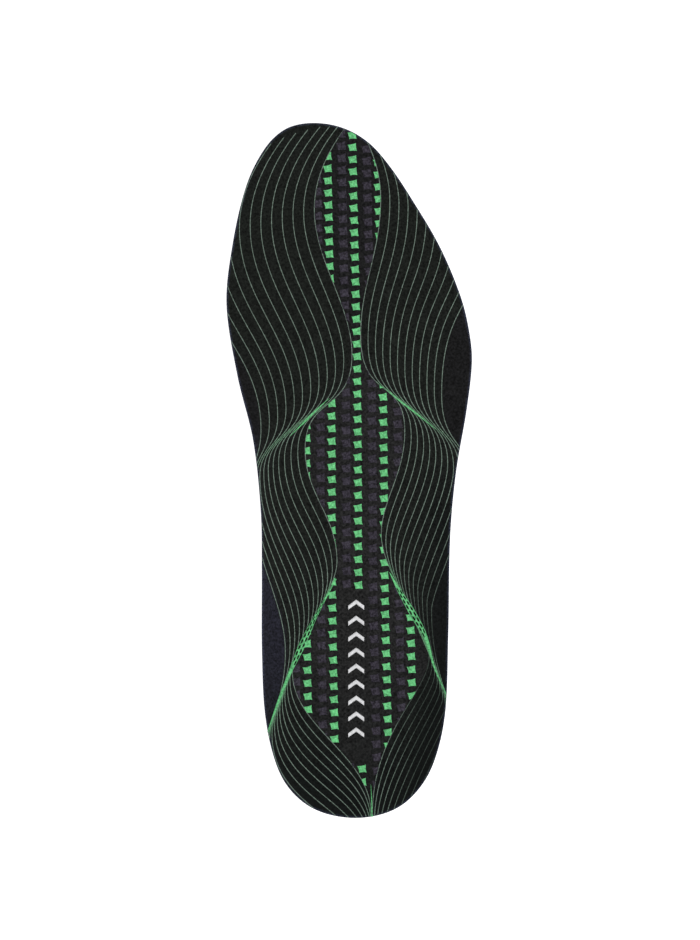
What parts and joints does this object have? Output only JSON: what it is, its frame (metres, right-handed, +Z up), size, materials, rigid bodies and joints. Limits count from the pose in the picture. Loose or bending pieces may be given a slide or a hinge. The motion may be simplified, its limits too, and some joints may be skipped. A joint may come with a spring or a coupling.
{
  "type": "cushioned insole",
  "caption": "Full-length right-foot shoe insole: printed knit cover and foam on a moulded base with a heel cup, arch shell and gel pads.",
  "frame": {"origin": "on the surface that the insole lies on, under the centre of its bounding box", "axes": "+Y to the toe, +X to the outer (lateral) side of the right foot, +Z up out of the knit cover"},
  "size_m": [0.0988, 0.28, 0.0231],
  "materials": {
    "knit_cover": "fine matt polyester knit",
    "comfort_foam": "open-cell foam, matt",
    "base_foam": "moulded foam, matt skin",
    "shell_plastic": "satin",
    "gel": "soft satin gel",
    "print_green": "printed ink on knit",
    "print_grey": "printed ink on knit",
    "print_white": "printed ink on knit"
  },
  "bodies": {
    "rearfoot": {"top_cover_rear": "knit_cover", "comfort_foam_rear": "comfort_foam", "foam_base_rear": "base_foam", "arch_shell": "shell_plastic", "heel_gel_pad": "gel", "forefoot_gel_pad": "gel"},
    "forefoot": {"top_cover_front": "knit_cover", "comfort_foam_front": "comfort_foam", "foam_base_front": "base_foam"}
  },
  "joints": [
    {"name": "ball_flex", "type": "hinge", "parent": "rearfoot", "child": "forefoot", "pos_m": [0, 0.063, 0.0068], "axis": [0.9763, -0.2164, 0], "range_deg": [0, 55], "stiffness_Nm_per_rad": 0.12}
  ]
}
